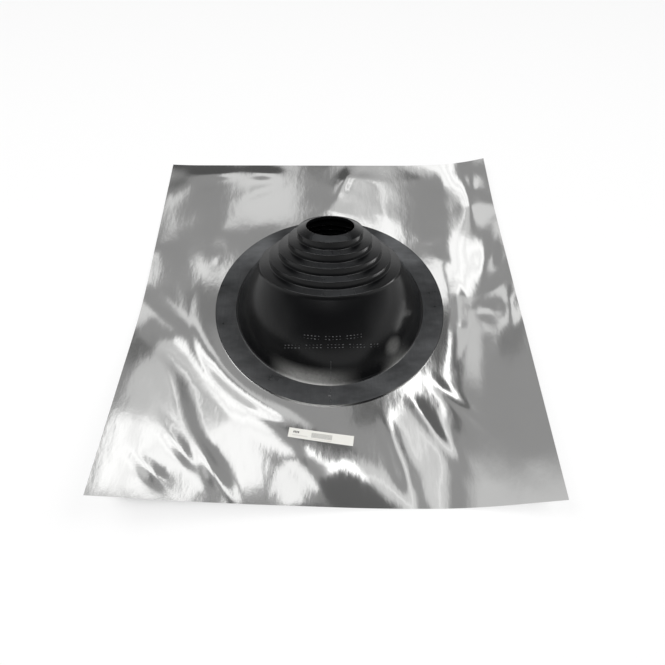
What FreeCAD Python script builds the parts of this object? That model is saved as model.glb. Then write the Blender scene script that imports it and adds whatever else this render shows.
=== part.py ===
# Roof flashing boot for a round pipe of 75 to 200 mm: a one-piece rubber boot, moulded as a leaning
# bell with a stepped cone on top, bonded by its flange to a soft aluminium base sheet.
# Millimetres, +Z up. The origin is the centre of the sheet's underside, and +Y points up the roof.
import FreeCAD, Part
import os
from math import cos, hypot, radians, sin, sqrt, tan

from FreeCAD import Placement, Rotation, Vector

# ---- base sheet ----
SHEET_WIDTH = 600.0          # across the slope
SHEET_LENGTH = 670.0         # up the slope
SHEET_THICKNESS = 0.6
SEAT_MARGIN = 2.0            # flat band left round the flange
NET_PITCH = 16.0             # spacing of the surface's control net
SHEET_HOLE_INSET = 6.0       # how far the sheet reaches in past the inside of the bell

# How the soft sheet has stayed bent since it was rolled up for storage: flaps of it rise beyond
# straight folds that pass close to the boot, and the back right corner is bent by itself.
FOLD_DISTANCE = 205.0        # from the boot centre to the long folds
CORNER_FOLD_DISTANCE = 360.0
FOLD_WIDTH = 60.0            # over which a fold turns from flat to its slope
FLAPS = (                    # the way each flap faces, in degrees from +X, its fold and its slope
    (229, FOLD_DISTANCE, 0.22),
    (-7, FOLD_DISTANCE, 0.25),
    (192, FOLD_DISTANCE, 0.08),
    (45, CORNER_FOLD_DISTANCE, 0.10),
)

# ---- rubber boot ----
BOOT_SHIFT = -2.0            # boot centre, along Y from the sheet's centre
WALL = 3.0                   # thickness of every rubber wall
FLANGE_DIAMETER = 368.0
FLANGE_THICKNESS = 3.0
FLANGE_EDGE_BEVEL = 1.0      # eases the flange's upper edge
BELL_FOOT_DIAMETER = 298.0   # outside of the bell where it meets the flange
BELL_FLANK = 0.7             # 1 is an even taper, less keeps the foot of the bell steeper
BELL_SECTIONS = 7

TILT = 22.5                  # lean of the cone up the slope, in degrees
AXIS_SHIFT = -3.5            # where the cone's axis meets the underside, along Y from the boot centre
SHOULDER_HEIGHT = 82.0       # edge of the lowest step, measured along the axis
STEP_RISE = 13.5
STEP_DIAMETERS = (218.0, 186.0, 157.0, 127.0, 99.0)  # outer edge of each step, lowest first
TREAD_SLOPE = 5.0            # fall of each tread towards its edge, in degrees
STEP_EDGE_BEVEL = 0.8        # eases the outer edge of each step

OPENING_DIAMETER = 72.0      # grips the smallest pipe
OPENING_LENGTH = 5.0         # gripping lip round the opening
COLLAR_RISE = 5.0            # height of the opening over the edge of the top step

# ---- paper label ----
LABEL_LENGTH = 92.0
LABEL_WIDTH = 15.0
LABEL_THICKNESS = 0.1
LABEL_GLUE = 0.02            # adhesive between the label and the sheet
LABEL_OFFSET = -14.5         # its middle, along X from the boot centre
LABEL_GAP = 47.0             # from the rim of the flange to the label's middle
LABEL_TURN = -8.3            # degrees from the sheet's front edge

# ---- worked out from the sizes above ----
BOOT_CENTRE = Vector(0, BOOT_SHIFT, 0)
AXIS = Vector(0, sin(radians(TILT)), cos(radians(TILT)))
AXIS_START = BOOT_CENTRE + Vector(0, AXIS_SHIFT, 0)
SEAT_RADIUS = FLANGE_DIAMETER / 2 + SEAT_MARGIN
FLANGE_TOP = SHEET_THICKNESS + FLANGE_THICKNESS
HOLE_RADIUS = BELL_FOOT_DIAMETER / 2 - WALL - SHEET_HOLE_INSET
BELL_TOP = SHOULDER_HEIGHT - WALL  # the bell ends under the rim of the lowest step
LABEL_CENTRE = BOOT_CENTRE + Vector(LABEL_OFFSET, -FLANGE_DIAMETER / 2 - LABEL_GAP, 0)
NET_DEGREE = 3
# One control point bends the surface up to two pitches away along each side, so the flat middle
# of the net is that much larger than the seat, corner to corner.
FLAT_RADIUS = SEAT_RADIUS + sqrt(2) * (NET_DEGREE + 1) / 2 * NET_PITCH


def smooth(t):
    """Eases from 0 to 1 with no kink at either end."""
    t = min(max(t, 0.0), 1.0)
    return t * t * (3 - 2 * t)


def flap_rise(x, y, facing, fold, slope):
    """Height of one flap at a point: nothing before its fold, an even slope after it."""
    reach = x * cos(radians(facing)) + (y - BOOT_SHIFT) * sin(radians(facing)) - fold
    if abs(reach) < FOLD_WIDTH / 2:
        return slope * (reach + FOLD_WIDTH / 2) ** 2 / (2 * FOLD_WIDTH)
    return slope * max(reach, 0.0)


def sheet_rise(x, y):
    """Height of the bent sheet at a point: the flaps added up, eased off to nothing at the boot."""
    outside = hypot(x, y - BOOT_SHIFT) - FLAT_RADIUS
    return sum(flap_rise(x, y, *flap) for flap in FLAPS) * smooth(outside / FOLD_WIDTH)


def net_line(spans, side):
    """Places of the control points along one side, which leave the surface evenly stretched."""
    knots = [0] * NET_DEGREE + list(range(spans + 1)) + [spans] * NET_DEGREE
    means = [sum(knots[i + 1:i + 1 + NET_DEGREE]) / NET_DEGREE for i in range(spans + NET_DEGREE)]
    return [side * (mean / spans - 0.5) for mean in means]


def bent_surface(height):
    """The whole sheet as one B-spline surface, exactly flat in its middle at the given height."""
    sizes = (SHEET_WIDTH, SHEET_LENGTH)
    spans = [round(side / NET_PITCH) for side in sizes]
    xs, ys = [net_line(n, side) for n, side in zip(spans, sizes)]
    poles = [[Vector(x, y, height + sheet_rise(x, y)) for y in ys] for x in xs]
    knots = [list(range(n + 1)) for n in spans]
    mults = [[NET_DEGREE + 1] + [1] * (n - 1) + [NET_DEGREE + 1] for n in spans]
    surface = Part.BSplineSurface()
    surface.buildFromPolesMultsKnots(
        poles, mults[0], mults[1], knots[0], knots[1], False, False, NET_DEGREE, NET_DEGREE)
    return surface


def bent_layer(height, thickness):
    """A layer of even thickness that follows the bent sheet."""
    return bent_surface(height).toShape().extrude(Vector(0, 0, thickness))


def make_base_sheet():
    """The aluminium sheet: bent outside the boot, truly flat and pierced under it."""
    seat = Part.makeCylinder(SEAT_RADIUS, SHEET_THICKNESS, BOOT_CENTRE)
    hole = Part.makeCylinder(HOLE_RADIUS, SHEET_THICKNESS, BOOT_CENTRE)
    through = Part.makeCylinder(SEAT_RADIUS, 3 * SHEET_THICKNESS,
                                BOOT_CENTRE - Vector(0, 0, SHEET_THICKNESS))
    skirt = bent_layer(0.0, SHEET_THICKNESS).cut(through)
    return skirt.fuse(seat.cut(hole))


def step_section(inset):
    """Points (radius, height) up the outside of the stepped cone, or of its hollow when inset."""
    fall = tan(radians(TREAD_SLOPE))
    drop = inset / cos(radians(TREAD_SLOPE))
    radii = [d / 2 for d in STEP_DIAMETERS]
    points = []
    for i, (radius, following) in enumerate(zip(radii, radii[1:])):
        edge = SHOULDER_HEIGHT + i * STEP_RISE
        points.append((radius - inset, edge + inset * fall - drop))
        points.append((following - inset, edge + (radius - following + inset) * fall - drop))
    return points


def bevelled(points, corners):
    """The points of a section, each of the named corners cut off by a small bevel."""
    placed = [Vector(radius, 0, height) for radius, height in points]
    section = []
    for i, corner in enumerate(placed):
        if points[i] in corners:
            for beside in (placed[i - 1], placed[(i + 1) % len(placed)]):
                section.append(corner + (beside - corner).normalize() * STEP_EDGE_BEVEL)
        else:
            section.append(corner)
    return section


def turn_section(section):
    """A solid turned from the points of a section and set on the cone's leaning axis."""
    outline = Part.makePolygon(section + section[:1])
    turned = Part.Face(outline).revolve(Vector(0, 0, 0), Vector(0, 0, 1), 360)
    turned.Placement = Placement(AXIS_START, Rotation(Vector(0, 0, 1), AXIS))
    return turned


def top_edge():
    """Height of the top step's edge along the axis."""
    return SHOULDER_HEIGHT + (len(STEP_DIAMETERS) - 1) * STEP_RISE


def make_step_cone():
    """The outside of the stepped cone, filled solid."""
    steps = step_section(0.0)
    collar = (STEP_DIAMETERS[-1] / 2, top_edge())
    mouth = top_edge() + COLLAR_RISE
    outline = [(0.0, BELL_TOP), (STEP_DIAMETERS[0] / 2, BELL_TOP)] + steps
    outline += [collar, (OPENING_DIAMETER / 2, mouth), (0.0, mouth)]
    return turn_section(bevelled(outline, steps[0::2] + [collar]))


def make_cone_hollow():
    """The space inside the stepped cone, open through the gripping lip at the top."""
    top = top_edge()
    mouth = top + COLLAR_RISE
    outline = [(0.0, BELL_TOP), (STEP_DIAMETERS[0] / 2 - WALL, BELL_TOP)] + step_section(WALL)
    outline += [(STEP_DIAMETERS[-1] / 2 - WALL, top - WALL)]
    outline += [(OPENING_DIAMETER / 2, mouth - OPENING_LENGTH), (OPENING_DIAMETER / 2, mouth + WALL)]
    outline += [(0.0, mouth + WALL)]
    return turn_section(bevelled(outline, []))


def bell_form(inset):
    """The bell: a ruled loft of circles that swing up about a line behind it as they shrink."""
    top_centre = AXIS_START + AXIS * BELL_TOP
    hinge_y = top_centre.y + (top_centre.z - FLANGE_TOP) / tan(radians(TILT))
    hinge = Vector(0, hinge_y, FLANGE_TOP)
    foot_reach = hinge_y - BOOT_SHIFT
    top_reach = (top_centre - hinge).Length
    foot_radius = BELL_FOOT_DIAMETER / 2
    top_radius = STEP_DIAMETERS[0] / 2
    rings = []
    for i in range(BELL_SECTIONS):
        t = i / (BELL_SECTIONS - 1)
        swing = radians(TILT) * t
        reach = foot_reach + (top_reach - foot_reach) * t
        centre = hinge + Vector(0, -cos(swing), sin(swing)) * reach
        radius = foot_radius + (top_radius - foot_radius) * (BELL_FLANK * t + (1 - BELL_FLANK) * t * t)
        circle = Part.Circle(centre, Vector(0, sin(swing), cos(swing)), radius - inset)
        rings.append(Part.Wire(circle.toShape()))
    return Part.makeLoft(rings, True, True)


def make_rubber_boot():
    """Flange, leaning bell and stepped cone, moulded as one piece of rubber."""
    flange = Part.makeCylinder(FLANGE_DIAMETER / 2, FLANGE_THICKNESS,
                               BOOT_CENTRE + Vector(0, 0, SHEET_THICKNESS))
    upper = max(flange.Faces, key=lambda face: face.CenterOfMass.z)
    flange = flange.makeChamfer(FLANGE_EDGE_BEVEL, upper.Edges)
    mouth = Part.makeCylinder(BELL_FOOT_DIAMETER / 2 - WALL, 2 * FLANGE_THICKNESS,
                              BOOT_CENTRE + Vector(0, 0, FLANGE_TOP - 2 * FLANGE_THICKNESS))
    outside = flange.fuse([bell_form(0.0), make_step_cone()])
    inside = mouth.fuse([bell_form(WALL), make_cone_hollow()])
    return outside.cut(inside)


def make_label():
    """The paper label, stuck on the bent sheet in front of the boot."""
    layer = bent_layer(SHEET_THICKNESS + LABEL_GLUE, LABEL_THICKNESS)
    cutter = Part.makeBox(LABEL_LENGTH, LABEL_WIDTH, SHEET_LENGTH,
                          Vector(-LABEL_LENGTH / 2, -LABEL_WIDTH / 2, -SHEET_LENGTH / 2))
    cutter.Placement = Placement(LABEL_CENTRE, Rotation(Vector(0, 0, 1), LABEL_TURN))
    return layer.common(cutter)


NODES = {
    "base_sheet": make_base_sheet,
    "rubber_boot": make_rubber_boot,
    "label_sticker": make_label,
}

os.makedirs("parts", exist_ok=True)
for name, make in NODES.items():
    shape = make()
    if shape.ShapeType == "Compound" and len(shape.Solids) == 1:
        shape = shape.Solids[0]
    box = shape.BoundBox
    print(f"{name}: {len(shape.Solids)} solid, valid {shape.isValid()}, {shape.Volume / 1000:.1f} cm3, "
          f"Z {box.ZMin:.2f} to {box.ZMax:.2f}")
    shape.exportStep(f"parts/{name}.step")
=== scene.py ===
# Roof flashing boot: a leaning rubber boot with a stepped cone, bonded to a soft aluminium sheet.
# Metres, +Z up off the roof and +Y up the slope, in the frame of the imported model.
from math import cos, pi, radians, sin, tan

import bpy
import numpy as np
from mathutils import Matrix, Vector


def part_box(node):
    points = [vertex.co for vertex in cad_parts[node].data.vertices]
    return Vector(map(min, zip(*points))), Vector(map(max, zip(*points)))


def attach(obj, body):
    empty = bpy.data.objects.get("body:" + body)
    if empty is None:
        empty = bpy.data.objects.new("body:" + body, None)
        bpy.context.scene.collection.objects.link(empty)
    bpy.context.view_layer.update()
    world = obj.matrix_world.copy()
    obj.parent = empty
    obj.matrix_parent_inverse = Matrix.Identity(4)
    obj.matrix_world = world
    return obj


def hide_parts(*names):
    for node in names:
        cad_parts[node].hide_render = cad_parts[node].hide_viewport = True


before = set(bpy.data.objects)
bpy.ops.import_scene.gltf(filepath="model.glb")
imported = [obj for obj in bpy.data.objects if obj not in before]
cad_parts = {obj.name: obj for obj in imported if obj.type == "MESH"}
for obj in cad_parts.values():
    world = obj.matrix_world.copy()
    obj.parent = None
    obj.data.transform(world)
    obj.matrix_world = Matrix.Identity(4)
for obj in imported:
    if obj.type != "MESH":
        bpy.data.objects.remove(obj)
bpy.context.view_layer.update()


# ---- Base sheet ----
# Soft aluminium, rolled bright and cut square, with a round hole under the bell. It carries the boot,
# whose flange is bonded to it. It was rolled up for storage and handled since, so the corners and rim
# stay bent and the face is full of shallow dents.
_, SHEET_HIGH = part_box("base_sheet")
HALF_WIDTH = SHEET_HIGH.x
HALF_LENGTH = SHEET_HIGH.y
SHEET_THICKNESS = 0.0006
SEAT_RADIUS = 0.186       # flat from here inwards, under the flange
SEAT_EASE = 0.04          # over which the bends die out towards the seat
HOLE_RADIUS = 0.140
BOOT_Y = -0.002           # middle of the boot
FLAPS = (  # the way each bent flap faces, in degrees from +X, its fold's distance and width, its slope
    (229, 0.205, 0.090, 0.22),
    (-7, 0.225, 0.100, 0.29),
    (192, 0.205, 0.060, 0.08),
    (45, 0.360, 0.060, 0.10),
)


def smooth(t):
    """Eases from 0 to 1 with no kink at either end."""
    t = np.clip(t, 0.0, 1.0)
    return t * t * (3 - 2 * t)


def flap_rise(x, y, facing, fold, width, slope):
    """Height of one flap: nothing before its fold, an even slope after it."""
    reach = x * cos(radians(facing)) + (y - BOOT_Y) * sin(radians(facing)) - fold
    turning = slope * (reach + width / 2) ** 2 / (2 * width)
    return np.where(abs(reach) < width / 2, turning, slope * np.maximum(reach, 0))


DENTS = (  # middle in X and Y, turn in degrees, half length, half width, height
    (-0.225, -0.165, -63, 0.140, 0.016, 0.0005),
    (-0.160, -0.285, -57, 0.046, 0.011, 0.0013),
    (-0.200, -0.262, -50, 0.034, 0.009, 0.0010),
    (-0.232, -0.296, -44, 0.026, 0.009, 0.0009),
    (-0.190, -0.205, -66, 0.060, 0.016, -0.0004),
    (0.140, -0.215, -62, 0.070, 0.010, 0.0006),
    (0.175, -0.170, -50, 0.060, 0.010, 0.0005),
    (0.095, -0.270, -75, 0.080, 0.012, 0.0008),
    (0.262, 0.235, 80, 0.060, 0.020, -0.0016),
    (0.272, 0.095, 76, 0.050, 0.018, -0.0014),
    (0.286, -0.015, 80, 0.045, 0.016, -0.0012),
    (-0.217, 0.308, 2, 0.040, 0.016, 0.0010),
    (-0.125, 0.310, -6, 0.034, 0.016, 0.0010),
    (0.032, 0.290, 70, 0.036, 0.012, 0.0010),
)


def handling_dents():
    """Shallow dents left by handling, scattered over the sheet outside the boot."""
    draw = np.random.RandomState(7)
    dents = []
    for _ in range(90):
        x = draw.uniform(-HALF_WIDTH, HALF_WIDTH)
        y = draw.uniform(-HALF_LENGTH, HALF_LENGTH)
        turn = draw.uniform(0, 180)
        long = draw.uniform(0.022, 0.050)
        wide = draw.uniform(0.014, 0.026)
        dents.append((x, y, turn, long, wide, draw.uniform(0.0001, 0.0004)))
    return dents


def dent_rise(x, y, middle_x, middle_y, turn, long, wide, height):
    """Height of one long, soft-edged dent or ridge."""
    along = (x - middle_x) * cos(radians(turn)) + (y - middle_y) * sin(radians(turn))
    across = (y - middle_y) * cos(radians(turn)) - (x - middle_x) * sin(radians(turn))
    return height * np.exp(-(along / long) ** 2 - (across / wide) ** 2)


def sheet_rise(x, y):
    """Height of the sheet's underside: flat under the boot, with flaps and dents outside it."""
    bent = sum(flap_rise(x, y, *flap) for flap in FLAPS)
    bent = bent + sum(dent_rise(x, y, *dent) for dent in [*DENTS, *handling_dents()])
    away = np.hypot(x, y - BOOT_Y)
    return np.maximum(bent, 0) * smooth((away - SEAT_RADIUS) / SEAT_EASE)


RIM_STEP = 0.004          # between the points round the rim
SEAT_RINGS = 4            # from the hole to the seat's edge
BENT_RINGS = 55           # and on to the rim


def rim_walk():
    """Points round the sheet's rim, corner to corner, evenly spaced on each side."""
    corners = [(1, -1), (1, 1), (-1, 1), (-1, -1)]
    walk = []
    for (a, b), (c, d) in zip(corners, corners[1:] + corners[:1]):
        start = np.array([a * HALF_WIDTH, b * HALF_LENGTH])
        end = np.array([c * HALF_WIDTH, d * HALF_LENGTH])
        count = round(float(np.linalg.norm(end - start)) / RIM_STEP)
        walk += [start + (end - start) * i / count for i in range(count)]
    return np.array(walk)


def sheet_rings():
    """Rings of points in plan, from the hole through the round seat to the square rim."""
    rim = rim_walk()
    from_boot = rim - [0.0, BOOT_Y]
    outward = from_boot / np.linalg.norm(from_boot, axis=1)[:, None]
    seat = [0.0, BOOT_Y] + outward * SEAT_RADIUS
    rings = [[0.0, BOOT_Y] + outward * r for r in np.linspace(HOLE_RADIUS, SEAT_RADIUS, SEAT_RINGS)]
    rings += [seat + (rim - seat) * t for t in np.linspace(0, 1, BENT_RINGS + 1)[1:]]
    return np.array(rings)


def mesh_piece(name, points, faces, sharp=radians(40)):
    """A smooth-shaded mesh object that keeps its sharp edges."""
    mesh = bpy.data.meshes.new(name)
    mesh.from_pydata(points, [], faces)
    mesh.validate()
    mesh.shade_smooth()
    mesh.set_sharp_from_angle(angle=sharp)
    piece = bpy.data.objects.new(name, mesh)
    bpy.context.collection.objects.link(piece)
    return piece


def band(first, second, around):
    """Quads between two rings of points, given the index of each ring's first point."""
    return [(first + i, first + (i + 1) % around, second + (i + 1) % around, second + i)
            for i in range(around)]


def make_sheet():
    """The bent sheet: an under and an upper face, closed at the rim and round the hole."""
    plan = sheet_rings()
    count, around = plan.shape[:2]
    rise = sheet_rise(plan[..., 0], plan[..., 1])
    under = np.dstack([plan, rise]).reshape(-1, 3)
    over = under + [0.0, 0.0, SHEET_THICKNESS]
    top = count * around
    faces = []
    for k in range(count - 1):
        faces += band(top + (k + 1) * around, top + k * around, around)
        faces += band(k * around, (k + 1) * around, around)
    faces += band((count - 1) * around, top + (count - 1) * around, around)
    faces += band(top, 0, around)
    return mesh_piece("aluminium_base_sheet", np.vstack([under, over]).tolist(), faces)


class Shade:
    """A socket in a node tree: arithmetic on it adds Math nodes, and node() adds any other node."""

    def __init__(self, tree, socket=None):
        self.tree = tree
        self.socket = socket

    def node(self, kind, settings=None, inputs=None, output=0):
        """Adds a node of any kind with its settings and inputs, and gives one of its outputs."""
        made = self.tree.nodes.new(kind)
        for name, value in (settings or {}).items():
            setattr(made, name, value)
        for name, value in (inputs or {}).items():
            if isinstance(value, Shade):
                self.tree.links.new(value.socket, made.inputs[name])
            else:
                made.inputs[name].default_value = value
        return Shade(self.tree, made.outputs[output])

    def math(self, operation, *values):
        """Adds a Math node over numbers or other sockets."""
        return self.node("ShaderNodeMath", {"operation": operation}, dict(enumerate(values)))

    def __add__(self, other):
        return self.math("ADD", self, other)

    def __sub__(self, other):
        return self.math("SUBTRACT", self, other)

    def __rsub__(self, other):
        return self.math("SUBTRACT", other, self)

    def __mul__(self, other):
        return self.math("MULTIPLY", self, other)

    def __truediv__(self, other):
        return self.math("DIVIDE", self, other)

    def __rtruediv__(self, other):
        return self.math("DIVIDE", other, self)

    def __gt__(self, other):
        return self.math("GREATER_THAN", self, other)

    def __lt__(self, other):
        return self.math("LESS_THAN", self, other)

    __radd__ = __add__
    __rmul__ = __mul__

    def split(self):
        """The X, Y and Z of a vector."""
        return [self.node("ShaderNodeSeparateXYZ", None, {0: self}, axis) for axis in "XYZ"]

    def mix(self, first, second):
        """This value's share of the second colour over the first."""
        return self.node("ShaderNodeMix", {"data_type": "RGBA"}, {0: self, 6: first, 7: second}, 2)

    def ramp(self, *stops):
        """Levels that go evenly from stop to stop, each a (place, level) pair."""
        levels = self.node("ShaderNodeValToRGB", None, {"Fac": self})
        elements = levels.socket.node.color_ramp.elements
        while len(elements) < len(stops):
            elements.new(1.0)
        for element, (place, level) in zip(elements, stops):
            element.position = place
            element.color = (level, level, level, 1)
        return levels


def new_material(name, **constants):
    """A material with its shader's constant sockets set, and a Shade to build the rest with."""
    material = bpy.data.materials.new(name)
    material.use_nodes = True
    tree = material.node_tree
    shader = tree.nodes["Principled BSDF"]
    for socket, value in constants.items():
        shader.inputs[socket.replace("_", " ")].default_value = value
    return material, shader, Shade(tree)


def feed(shader, socket, value):
    """Drives one socket of the shader by a Shade."""
    value.tree.links.new(value.socket, shader.inputs[socket])


def noise(shade, place, scale, detail=2.0, roughness=0.5, stretch=None):
    """Noise over a place, in cycles per metre, optionally squeezed along each axis."""
    if stretch:
        place = shade.node("ShaderNodeVectorMath", {"operation": "MULTIPLY"}, {0: place, 1: stretch})
    inputs = {"Vector": place, "Scale": scale, "Detail": detail, "Roughness": roughness}
    return shade.node("ShaderNodeTexNoise", None, inputs)


def rolled_aluminium():
    """Bright metal with the fine grain of the rolls and a faint ripple."""
    material, shader, shade = new_material("rolled_aluminium", Metallic=1.0)
    place = shade.node("ShaderNodeTexCoord", output="Object")
    grain = noise(shade, place, 1500.0, 2.0, stretch=(0.04, 1.0, 1.0))
    cloud = noise(shade, place, 9.0, 3.0)
    feed(shader, "Base Color", cloud.mix((0.74, 0.74, 0.735, 1), (0.82, 0.82, 0.81, 1)))
    feed(shader, "Roughness", 0.03 + grain * 0.03 + cloud * 0.04)
    ripple = noise(shade, place, 48.0, 3.0, stretch=(1.5, 0.6, 1.0))
    relief = grain * 0.07 + ripple
    bump = shade.node("ShaderNodeBump", None, {"Strength": 1.0, "Distance": 0.00008, "Height": relief})
    feed(shader, "Normal", bump)
    return material


sheet = make_sheet()
sheet.data.materials.append(rolled_aluminium())
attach(sheet, "root")
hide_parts("base_sheet")


# ---- Rubber boot ----
# One black moulding with a 3 mm wall: a round flange bonded to the sheet, a bell that swings over to
# lean up the slope, and a cone of five steps, each cut off in turn to suit a larger pipe.
AROUND = 256              # points round each ring
WALL = 0.003
FLANGE_RADIUS = 0.184
FLANGE_TOP = 0.0036
BELL_FOOT_RADIUS = 0.149
BELL_FLANK = 0.7          # 1 is an even taper, less keeps the foot of the bell steeper
TILT = radians(22.5)      # lean of the cone up the slope
AXIS = Vector((0, sin(TILT), cos(TILT)))
AXIS_SHIFT = -0.0035      # where the axis meets the roof, along Y from the boot's middle
AXIS_START = Vector((0, BOOT_Y + AXIS_SHIFT, 0))
SHOULDER = 0.082
STEP_RISE = 0.0135
STEP_RADII = (0.109, 0.093, 0.0785, 0.0635, 0.0495)
TREAD_SLOPE = radians(5)  # each tread falls towards its edge
OPENING_RADIUS = 0.036
OPENING_LENGTH = 0.005
COLLAR_RISE = 0.005
BELL_TOP = SHOULDER - WALL
TOP_EDGE = SHOULDER + (len(STEP_RADII) - 1) * STEP_RISE
MOUTH = TOP_EDGE + COLLAR_RISE


def leaning_ring(centre, lean, radius, count=AROUND):
    """A ring of points round a centre, its plane leaning up the slope by an angle."""
    turn = np.arange(count) * 2 * pi / count
    across = np.cos(turn)
    along = np.sin(turn)
    centre = np.array(centre)
    return np.column_stack([
        centre[0] + radius * across,
        centre[1] + radius * along * cos(lean),
        centre[2] - radius * along * sin(lean)])


def rounded(points, radii, steps=5):
    """The points of a section with each corner turned into an arc of its radius."""
    section = [points[0]]
    for before, corner, after, radius in zip(points, points[1:], points[2:], radii[1:-1]):
        a, b, c = (Vector(p) for p in (before, corner, after))
        back = (a - b).normalized()
        on = (c - b).normalized()
        half = back.angle(on) / 2
        if radius == 0 or half > radians(89):
            section.append(tuple(b))
            continue
        reach = min(radius / tan(half), (a - b).length * 0.45, (c - b).length * 0.45)
        radius = reach * tan(half)
        middle = b + (back + on).normalized() * radius / sin(half)
        first, last = b + back * reach - middle, b + on * reach - middle
        sweep = first.angle(last)
        for k in range(steps + 1):
            share = k / steps
            spoke = (first * sin(sweep * (1 - share)) + last * sin(sweep * share)) / sin(sweep)
            section.append(tuple(middle + spoke))
    section.append(points[-1])
    return section


def step_section(inset):
    """(radius, height) points up the outside of the steps, or up the inside when inset."""
    drop = inset / cos(TREAD_SLOPE)
    fall = tan(TREAD_SLOPE)
    points = []
    for i, (radius, following) in enumerate(zip(STEP_RADII, STEP_RADII[1:])):
        corner = SHOULDER + i * STEP_RISE
        points.append((radius - inset, corner + inset * fall - drop))
        points.append((following - inset, corner + (radius - following + inset) * fall - drop))
    return points


def bell_ring(t, inset):
    """Centre, lean and radius of the bell's ring at t, from 0 at its foot to 1 under the shoulder."""
    top_centre = AXIS_START + AXIS * BELL_TOP
    hinge_y = top_centre.y + (top_centre.z - FLANGE_TOP) / tan(TILT)
    hinge = Vector((0, hinge_y, FLANGE_TOP))
    foot_reach = hinge_y - BOOT_Y
    top_reach = (top_centre - hinge).length
    swing = TILT * t
    reach = foot_reach + (top_reach - foot_reach) * t
    centre = hinge + Vector((0, -cos(swing), sin(swing))) * reach
    shrink = BELL_FLANK * t + (1 - BELL_FLANK) * t * t
    radius = BELL_FOOT_RADIUS + (STEP_RADII[0] - BELL_FOOT_RADIUS) * shrink
    return centre, swing, radius - inset


def axis_ring(radius, height):
    """A ring square to the leaning axis, at a height along it."""
    return leaning_ring(AXIS_START + AXIS * height, TILT, radius)


def flat_ring(radius, height):
    """A level ring round the boot's middle."""
    return leaning_ring((0, BOOT_Y, height), 0, radius)


FILLET_REACH = 0.0035     # of the fillet at the bell's foot, out over the flange
FILLET_TOP = 0.03         # and up the bell, as a share of its flank
BELL_RINGS = 33           # from the fillet to the shoulder


def foot_fillet():
    """Rings that round the corner between the flange and the bell's foot."""
    start = flat_ring(BELL_FOOT_RADIUS + FILLET_REACH, FLANGE_TOP)
    corner = leaning_ring(*bell_ring(0, 0))
    end = leaning_ring(*bell_ring(FILLET_TOP, 0))
    return [start * (1 - k) ** 2 + corner * 2 * k * (1 - k) + end * k * k for k in np.linspace(0, 1, 7)]


def boot_rings():
    """Rings of points from the mouth's lower edge out, up over the outside, and down the inside."""
    bottom = SHEET_THICKNESS
    mouth = BELL_FOOT_RADIUS - WALL
    flange = [(mouth, bottom), (FLANGE_RADIUS, bottom), (FLANGE_RADIUS, FLANGE_TOP),
              (BELL_FOOT_RADIUS + 0.006, FLANGE_TOP)]
    rings = [flat_ring(r, h) for r, h in rounded(flange, (0, 0.0002, 0.0012, 0))]
    rings += foot_fillet()
    rings += [leaning_ring(*bell_ring(t, 0)) for t in np.linspace(FILLET_TOP + 0.01, 1, BELL_RINGS)]
    steps = step_section(0)
    lip = [(OPENING_RADIUS, MOUTH), (OPENING_RADIUS, MOUTH - OPENING_LENGTH)]
    cone = [(STEP_RADII[0], BELL_TOP)] + steps + [(STEP_RADII[-1], TOP_EDGE)] + lip
    radii = [0] + [0.0011, 0.0012] * (len(steps) // 2) + [0.0011, 0.0006, 0]
    rings += [axis_ring(r, h) for r, h in rounded(cone, radii)[1:]]
    inner = step_section(WALL)[::-1]
    hollow = [(OPENING_RADIUS, MOUTH - OPENING_LENGTH), (STEP_RADII[-1] - WALL, TOP_EDGE - WALL)]
    hollow += inner + [(STEP_RADII[0] - WALL, BELL_TOP)]
    rings += [axis_ring(r, h) for r, h in rounded(hollow, [0] * 2 + [0.001] * len(inner) + [0])[1:]]
    rings += [leaning_ring(*bell_ring(t, WALL)) for t in np.linspace(1, 0, 17)[1:]]
    return rings


def ring_faces(rings):
    """The faces of a tube of rings whose last ring is joined to its first."""
    around = len(rings[0])
    starts = [k * around for k in range(len(rings))]
    faces = []
    for k, start in enumerate(starts):
        faces += band(start, starts[(k + 1) % len(starts)], around)
    return faces


FLANK_CLIMB = 0.6         # a bar on the sloping flank stands this much up for each part out


def bell_point(t, turn, lift):
    """A point of the bell's outside, lifted off it, turned from its front by an angle."""
    centre, lean, radius = bell_ring(t, -lift)
    aside = radius * sin(turn)
    ahead = -radius * cos(turn)
    up = lift * FLANK_CLIMB
    return centre.x + aside, centre.y + ahead * cos(lean), centre.z - ahead * sin(lean) + up


def flange_point(reach, turn, lift):
    """A point over the flange's top, at a distance from its middle."""
    return reach * sin(turn), BOOT_Y - reach * cos(turn), FLANGE_TOP + lift


BAR_ROOT = 0.0003         # how deep a raised bar starts in the wall


def raised_bar(surface, low, high, left, right, height, taper):
    """Points and faces of a low bar with sloping sides: root, top, low, right, high and left side."""
    middle = (low + high) / 2
    centre = (left + right) / 2
    points = []
    for lift, share in ((-BAR_ROOT, 1), (height, taper)):
        for along, aside in ((low, left), (low, right), (high, right), (high, left)):
            drawn_in = (middle + (along - middle) * share, centre + (aside - centre) * share)
            points.append(surface(*drawn_in, lift))
    faces = [(3, 2, 1, 0), (4, 5, 6, 7), (0, 1, 5, 4), (1, 2, 6, 5), (2, 3, 7, 6), (3, 0, 4, 7)]
    return points, faces


MARK_ROWS = (  # turn of the first bar, count, height of the row's middle up the flank, how far its ends fall
    (-17.5, 17, 0.575, 0.03),
    (-29.5, 27, 0.485, 0.11),
)
MARK_PITCH = 2.25         # degrees round the bell
MARK_WIDTH = 1.5
MARK_LENGTH = 0.010       # of one bar up the flank
MARK_REACH = 0.021        # from a row's middle to its upper and lower edge
MARK_HEIGHT = 0.0009
WORD_LENGTH = 6           # bars from one gap to the next


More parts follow.
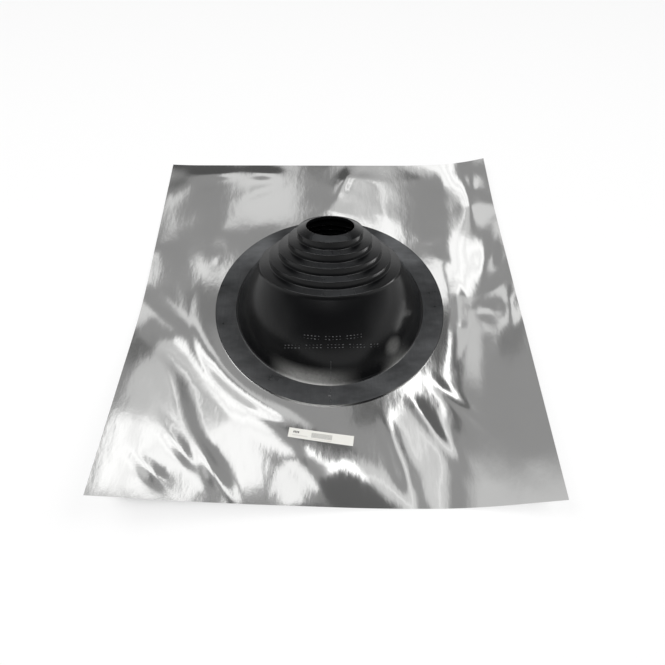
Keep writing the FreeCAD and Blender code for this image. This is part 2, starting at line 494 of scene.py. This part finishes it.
def moulded_marks():
    """Two rows of plain raised bars in pairs on the bell's front, where such a boot is marked."""
    bars = []
    for first, count, height, fall in MARK_ROWS:
        for k in range(count):
            if k % WORD_LENGTH == WORD_LENGTH - 1:
                continue
            turn = first + k * MARK_PITCH
            sides = radians(turn), radians(turn + MARK_WIDTH)
            middle = height - fall * (turn / 30) ** 2
            for low in (middle - MARK_REACH, middle + MARK_REACH - MARK_LENGTH):
                bars.append(raised_bar(bell_point, low, low + MARK_LENGTH, *sides, MARK_HEIGHT, 0.5))
    return bars


def moulded_seam():
    """The fine rib left by the mould's joint down the bell's foot and the flange, and a gate nub."""
    half = radians(0.12)
    bars = []
    for k in range(5):
        low = 0.06 + 0.05 * k
        bars.append(raised_bar(bell_point, low, low + 0.05, -half, half, 0.0002, 0.9))
    inner, outer = BELL_FOOT_RADIUS + 0.004, FLANGE_RADIUS - 0.002
    bars.append(raised_bar(flange_point, inner, outer, -half, half, 0.0003, 0.9))
    left, right = radians(-1.2), radians(-0.2)
    bars.append(raised_bar(flange_point, 0.1665, 0.1695, left, right, 0.0008, 0.5))
    return bars


TOP_FACE = 1              # of a raised bar, in the order of its faces
HIGH_FACE = 4


def make_boot():
    """The moulding with its raised bars, whose top and upper side take a painted highlight in a paler, worn
    rubber.
    """
    rings = boot_rings()
    points = np.vstack(rings).tolist()
    faces = ring_faces(rings)
    painted_highlight = []
    for bar_points, bar_faces in moulded_marks() + moulded_seam():
        start = len(points)
        points += [list(p) for p in bar_points]
        # the top and upper side of each bar take the paler material, a painted highlight
        painted_highlight += [len(faces) + TOP_FACE, len(faces) + HIGH_FACE]
        faces += [tuple(start + k for k in face) for face in bar_faces]
    boot = mesh_piece("rubber_boot_moulding", points, faces, radians(50))
    boot.data.materials.append(moulded_rubber())
    boot.data.materials.append(highlit_worn_rubber())
    for index in painted_highlight:
        boot.data.polygons[index].material_index = 1
    return boot


def edge(value, start, end):
    """Eases from 0 to 1 as a value goes from start to end."""
    inputs = {"Value": value, "From Min": start, "From Max": end}
    return value.node("ShaderNodeMapRange", {"interpolation_type": "SMOOTHSTEP"}, inputs)


PAINTED_HIGHLIGHT_SPOT = (0.092, -0.102, 0.033)  # a painted highlight, a pale spot low on the bell's right
PAINTED_HIGHLIGHT_REACH = 0.0212


def moulded_rubber():
    """Black rubber, with pale dust and a painted sheen on the level flange, and painted highlights low on
    the bell.
    """
    material, shader, shade = new_material("moulded_rubber", Specular_IOR_Level=0.26)
    place = shade.node("ShaderNodeTexCoord", output="Object")
    x, y, z = place.split()
    facing = shade.node("ShaderNodeNewGeometry", output="Normal").split()
    level = edge(facing[2], 0.955, 0.99)
    cloud = noise(shade, place, 25.0, 4.0)
    smear = noise(shade, place, 14.0, 5.0, 0.6, (1.0, 2.2, 1.0))
    scuffs = noise(shade, place, 260.0, 3.0, 0.6, (1.0, 0.12, 1.0))
    # paler towards the flange's front
    front = edge(y, 0.0, -0.12) * edge(x, -0.02, 0.03)
    # painted sheen: paler patches on the flange behind the bell, at its left and right, mixed in with the
    # dust
    painted_sheen_behind_bell = edge(y, 0.055, 0.095) * edge(x * x, 0.006, 0.011)
    dust_and_sheen_amount = 0.32 + scuffs * 0.26 + front * 0.20 + painted_sheen_behind_bell * 0.62
    dust_and_sheen = level * smear.ramp((0.32, 0.35), (0.68, 1.0)) * dust_and_sheen_amount
    # painted highlights: pale bands along the bell's foot at the front left and right, and a pale spot low
    # on its right, streaked by the scuff noise
    foot = edge(z, 0.036, 0.002) * (1 - level)
    left_foot_highlight = edge(x, -0.095, -0.045) * edge(x, 0.050, -0.030)
    right_foot_highlight = edge(x, 0.070, 0.105) * edge(y, 0.0, -0.09)
    off_x, off_y, off_z = x - PAINTED_HIGHLIGHT_SPOT[0], y - PAINTED_HIGHLIGHT_SPOT[1], z - PAINTED_HIGHLIGHT_SPOT[2]
    highlight_spot = edge(off_x * off_x + off_y * off_y + off_z * off_z, PAINTED_HIGHLIGHT_REACH ** 2, 0.0)
    painted_highlight = foot * edge(y, -0.08, -0.12) * (left_foot_highlight * 1.2 + right_foot_highlight * 0.5) * (0.6 + scuffs * 0.6)
    painted_highlight = painted_highlight + highlight_spot * highlight_spot * (0.08 + scuffs * 0.36)
    black = cloud.mix((0.0018, 0.0019, 0.0022, 1), (0.0045, 0.0047, 0.0052, 1))
    dust_and_sheen_colour = dust_and_sheen.mix(black, (0.105, 0.108, 0.112, 1))
    feed(shader, "Base Color", painted_highlight.mix(dust_and_sheen_colour, (0.34, 0.34, 0.33, 1)))
    feed(shader, "Roughness", 0.17 + cloud * 0.10 + dust_and_sheen * 0.30 + painted_highlight * 0.10)
    return material


def highlit_worn_rubber():
    """The same rubber, painted paler as a highlight on the raised marks' top and upper side, mottled by
    wear.
    """
    material, shader, shade = new_material("highlit_worn_rubber", Specular_IOR_Level=0.5)
    place = shade.node("ShaderNodeTexCoord", output="Object")
    wear = noise(shade, place, 190.0, 2.0).ramp((0.38, 0.0), (0.62, 1.0))
    feed(shader, "Base Color", wear.mix((0.010, 0.010, 0.011, 1), (0.115, 0.117, 0.120, 1)))
    feed(shader, "Roughness", 0.45 - wear * 0.15)
    return material


boot = make_boot()
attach(boot, "root")
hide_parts("rubber_boot")


# ---- Label ----
# A strip of white paper with plain printed marks, stuck on the sheet in front of the flange by a thin
# film of adhesive. It follows the bends of the sheet.
LABEL_LENGTH = 0.092
LABEL_WIDTH = 0.015
LABEL_THICKNESS = 0.0001
LABEL_GLUE = 0.00002
LABEL_CENTRE = (-0.0145, -0.233)
LABEL_TURN = radians(-8.3)


def make_label(columns=46, rows=8):
    """A thin strip that follows the sheet, with its length and width laid out as UVs."""
    s, t = np.meshgrid(np.linspace(0, 1, columns + 1), np.linspace(0, 1, rows + 1))
    along = (s - 0.5) * LABEL_LENGTH
    across = (t - 0.5) * LABEL_WIDTH
    x = LABEL_CENTRE[0] + along * cos(LABEL_TURN) - across * sin(LABEL_TURN)
    y = LABEL_CENTRE[1] + along * sin(LABEL_TURN) + across * cos(LABEL_TURN)
    lower = np.dstack([x, y, sheet_rise(x, y) + SHEET_THICKNESS + LABEL_GLUE]).reshape(-1, 3)
    upper = lower + [0, 0, LABEL_THICKNESS]
    wide = columns + 1
    count = len(lower)
    faces = []
    for j in range(rows):
        for i in range(columns):
            a = j * wide + i
            quad = (a, a + 1, a + wide + 1, a + wide)
            faces.append(tuple(count + k for k in quad))
            faces.append(quad[::-1])
    rim = list(range(wide)) + [j * wide + columns for j in range(1, rows + 1)]
    rim += [rows * wide + i for i in range(columns - 1, -1, -1)]
    rim += [j * wide for j in range(rows - 1, 0, -1)]
    faces += [(a, b, count + b, count + a) for a, b in zip(rim, rim[1:] + rim[:1])]
    label = mesh_piece("paper_label", np.vstack([lower, upper]).tolist(), faces)
    layout = label.data.uv_layers.new(name="label")
    flat = np.column_stack([s.ravel(), t.ravel()])
    for loop in label.data.loops:
        layout.data[loop.index].uv = flat[loop.vertex_index % count]
    return label


def printed_paper():
    """Warm white paper with plain printed blocks: a dark one at the left and a field of fine grey bars."""
    material, shader, shade = new_material("printed_paper", Roughness=0.55)
    along, across, _ = shade.node("ShaderNodeUVMap", {"uv_map": "label"}).split()

    def block(left, right, low, high):
        return (along > left) * (along < right) * (across > low) * (across < high)

    def stripes(count, share):
        return shade.math("FRACT", along * count) < share

    dark = block(0.065, 0.165, 0.52, 0.74) * stripes(42.0, 0.72)
    bars = block(0.35, 0.67, 0.28, 0.78) * stripes(110.0, 0.55)
    lines = block(0.06, 0.30, 0.24, 0.36) * stripes(60.0, 0.6)
    lines = lines + block(0.35, 0.67, 0.10, 0.18) * 0.6
    ink = dark * 0.85 + bars * 0.62 + lines * 0.25
    paper = noise(shade, shade.node("ShaderNodeTexCoord", output="Object"), 60.0)
    page = paper.mix((0.70, 0.69, 0.65, 1), (0.76, 0.75, 0.71, 1))
    feed(shader, "Base Color", ink.mix(page, (0.03, 0.03, 0.035, 1)))
    return material


label = make_label()
label.data.materials.append(printed_paper())
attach(label, "root")
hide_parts("label_sticker")


# ---- Floor, light and camera ----
# A plain white floor under a soft grey room with three large lamps and a ceiling of pale and dark
# panels, which the metal mirrors. The camera looks down from above the front edge.
FLOOR = 3.0               # half its side
FLOOR_DROP = 0.0002       # below the sheet's underside
HIDDEN_MARGIN = 0.03      # in from the sheet's rim, where the floor stops glowing


def rays_seen(shade):
    """For each ray from the camera, off gloss or through glass: 1, and otherwise 0."""
    return [shade.node("ShaderNodeLightPath", output="Is " + ray + " Ray")
            for ray in ("Camera", "Glossy", "Transmission")]


def white_floor():
    """A white floor that takes soft shadows, and looks white to the camera and in the metal."""
    material, shader, shade = new_material("white_floor", Roughness=0.9, Specular_IOR_Level=0.0)
    place = shade.node("ShaderNodeTexCoord", output="Object")
    clean = noise(shade, place, 2.0)
    feed(shader, "Base Color", clean.mix((0.90, 0.90, 0.90, 1), (0.91, 0.91, 0.91, 1)))
    camera_ray, glossy_ray, clear_ray = rays_seen(shade)
    white = shade.node("ShaderNodeEmission", None, {"Color": (1, 1, 1, 1), "Strength": 1.0})
    x, y, _ = place.split()
    covered = edge(shade.math("ABSOLUTE", x), HALF_WIDTH, HALF_WIDTH - HIDDEN_MARGIN)
    covered = covered * edge(shade.math("ABSOLUTE", y), HALF_LENGTH, HALF_LENGTH - HIDDEN_MARGIN)
    seen = shade.math("MINIMUM", camera_ray + glossy_ray + clear_ray, 1.0)
    share = seen * (1 - covered) * 0.75
    mixed = shade.node("ShaderNodeMixShader", None, {0: share, 2: white})
    shade.tree.links.new(shader.outputs["BSDF"], mixed.socket.node.inputs[1])
    shade.tree.links.new(mixed.socket, shade.tree.nodes["Material Output"].inputs["Surface"])
    return material


floor_mesh = bpy.data.meshes.new("floor")
corners = [(-FLOOR, -FLOOR, 0), (FLOOR, -FLOOR, 0), (FLOOR, FLOOR, 0), (-FLOOR, FLOOR, 0)]
floor_mesh.from_pydata(corners, [], [(0, 1, 2, 3)])
floor = bpy.data.objects.new("floor", floor_mesh)
bpy.context.collection.objects.link(floor)
floor.location.z = -FLOOR_DROP
floor.data.materials.append(white_floor())


def area_lamp(name, place, target, size, watts):
    """A rectangular soft lamp that faces a target and isn't seen by the camera itself."""
    light = bpy.data.lights.new(name, "AREA")
    light.shape = "RECTANGLE"
    light.size, light.size_y = size
    light.energy = watts
    lamp = bpy.data.objects.new(name, light)
    bpy.context.collection.objects.link(lamp)
    lamp.location = place
    aim = Vector(target) - Vector(place)
    lamp.rotation_euler = aim.to_track_quat("-Z", "Y").to_euler()
    lamp.visible_camera = False
    return lamp


area_lamp("left_softbox", (-1.2, 0.3, 2.0), (0, 0, 0), (1.2, 1.2), 22)
area_lamp("right_softbox", (1.4, 0.1, 1.9), (0, 0, 0), (1.2, 1.2), 22)
area_lamp("front_softbox", (-0.2, -0.9, 1.8), (0, 0, 0), (0.8, 0.4), 11)

world = bpy.data.worlds.new("soft_room")
bpy.context.scene.world = world
world.use_nodes = True
sky = Shade(world.node_tree)
east, north, height = sky.node("ShaderNodeTexCoord", output="Generated").split()
climb = sky.math("MAXIMUM", height, 0.05)
across = east / climb
back = north / climb


def panel(left, right, near, far, soft):
    """A soft-edged rectangle of the ceiling, in metres from over the sheet at a height of one metre."""
    sides = edge(across, left - soft, left + soft) * edge(across, right + soft, right - soft)
    return sides * edge(back, near - soft, near + soft) * edge(back, far + soft, far - soft)


room = height.ramp((0.0, 0.30), (0.30, 0.22), (0.55, 0.10), (0.62, 0.10), (0.66, 0.32), (1.0, 0.34))
low = edge(height, 0.50, 0.25)
room = room + low * edge(north, -0.3, 0.4) * 0.14
room = room + low * edge(east * east, 0.4, 0.7) * 0.40
room = room + low * edge(east, 0.75, 0.95) * edge(height, 0.22, 0.05) * 1.2
CEILING = (  # left, right, near and far edge of each panel, how soft its edges are, and its light
    (0.01, 0.19, 0.76, 0.98, 0.015, 0.92),
    (0.215, 0.285, 0.745, 0.86, 0.008, 0.85),
    (-0.22, -0.055, 0.98, 1.22, 0.02, 0.46),
    (0.03, 0.20, 0.98, 1.32, 0.02, 0.33),
    (0.140, 0.165, 0.98, 1.16, 0.007, 0.40),
    (0.094, 0.099, 0.78, 1.10, 0.003, 0.30),
    (0.124, 0.130, 0.78, 1.10, 0.003, -0.28),
    (0.12, 0.23, 0.26, 0.48, 0.02, 0.42),
    (0.168, 0.178, 0.26, 0.48, 0.005, 0.40),
    (0.145, 0.200, 0.485, 0.67, 0.010, 1.30),
    (-0.06, 0.055, 0.58, 0.76, 0.03, 0.34),
    (0.21, 0.42, 0.46, 0.73, 0.012, -0.20),
    (0.06, 0.11, 0.46, 0.68, 0.015, -0.18),
    (-0.25, -0.16, 0.68, 0.80, 0.02, -0.09),
    (-0.14, -0.07, 0.70, 0.82, 0.015, 0.45),
    (-0.26, -0.20, 0.80, 0.88, 0.01, 0.60),
    (-0.30, -0.01, 0.28, 0.42, 0.05, 0.32),
    (0.040, 0.046, 0.77, 0.98, 0.003, 0.30),
    (0.066, 0.074, 0.77, 0.98, 0.003, -0.32),
)
for *sides, light in CEILING:
    room = room + panel(*sides) * light
camera_ray, glossy_ray, clear_ray = rays_seen(sky)
skirting = edge(height, 0.14, 0.04)  # as high as the white backdrop shows in the metal
backdrop = sky.math("MINIMUM", camera_ray + (glossy_ray + clear_ray) * skirting, 1.0)
walls = backdrop.mix(room, (1, 1, 1, 1))
world.node_tree.links.new(walls.socket, world.node_tree.nodes["Background"].inputs["Color"])

CAMERA_PLACE = (-0.01222, -0.56194, 0.75605)
CAMERA_HEADING = 0.0317   # radians to the right of +Y
CAMERA_DIP = 0.9811       # radians below the horizon
CAMERA_ROLL = 0.0234

camera_data = bpy.data.cameras.new("camera")
camera_data.sensor_width = 36.0
camera_data.lens = 31.27
camera_data.clip_start = 0.01
camera = bpy.data.objects.new("camera", camera_data)
bpy.context.collection.objects.link(camera)
level_ahead = Vector((sin(CAMERA_HEADING), cos(CAMERA_HEADING), 0))
ahead = level_ahead * cos(CAMERA_DIP) - Vector((0, 0, sin(CAMERA_DIP)))
right = ahead.cross(Vector((0, 0, 1))).normalized()
up = right.cross(ahead)
turned_right = right * cos(CAMERA_ROLL) + up * sin(CAMERA_ROLL)
turned_up = up * cos(CAMERA_ROLL) - right * sin(CAMERA_ROLL)
camera.matrix_world = Matrix.Translation(CAMERA_PLACE) @ Matrix(
    (turned_right, turned_up, -ahead)).transposed().to_4x4()
bpy.context.scene.camera = camera
bpy.context.scene.view_settings.view_transform = "Standard"

bpy.context.view_layer.update()
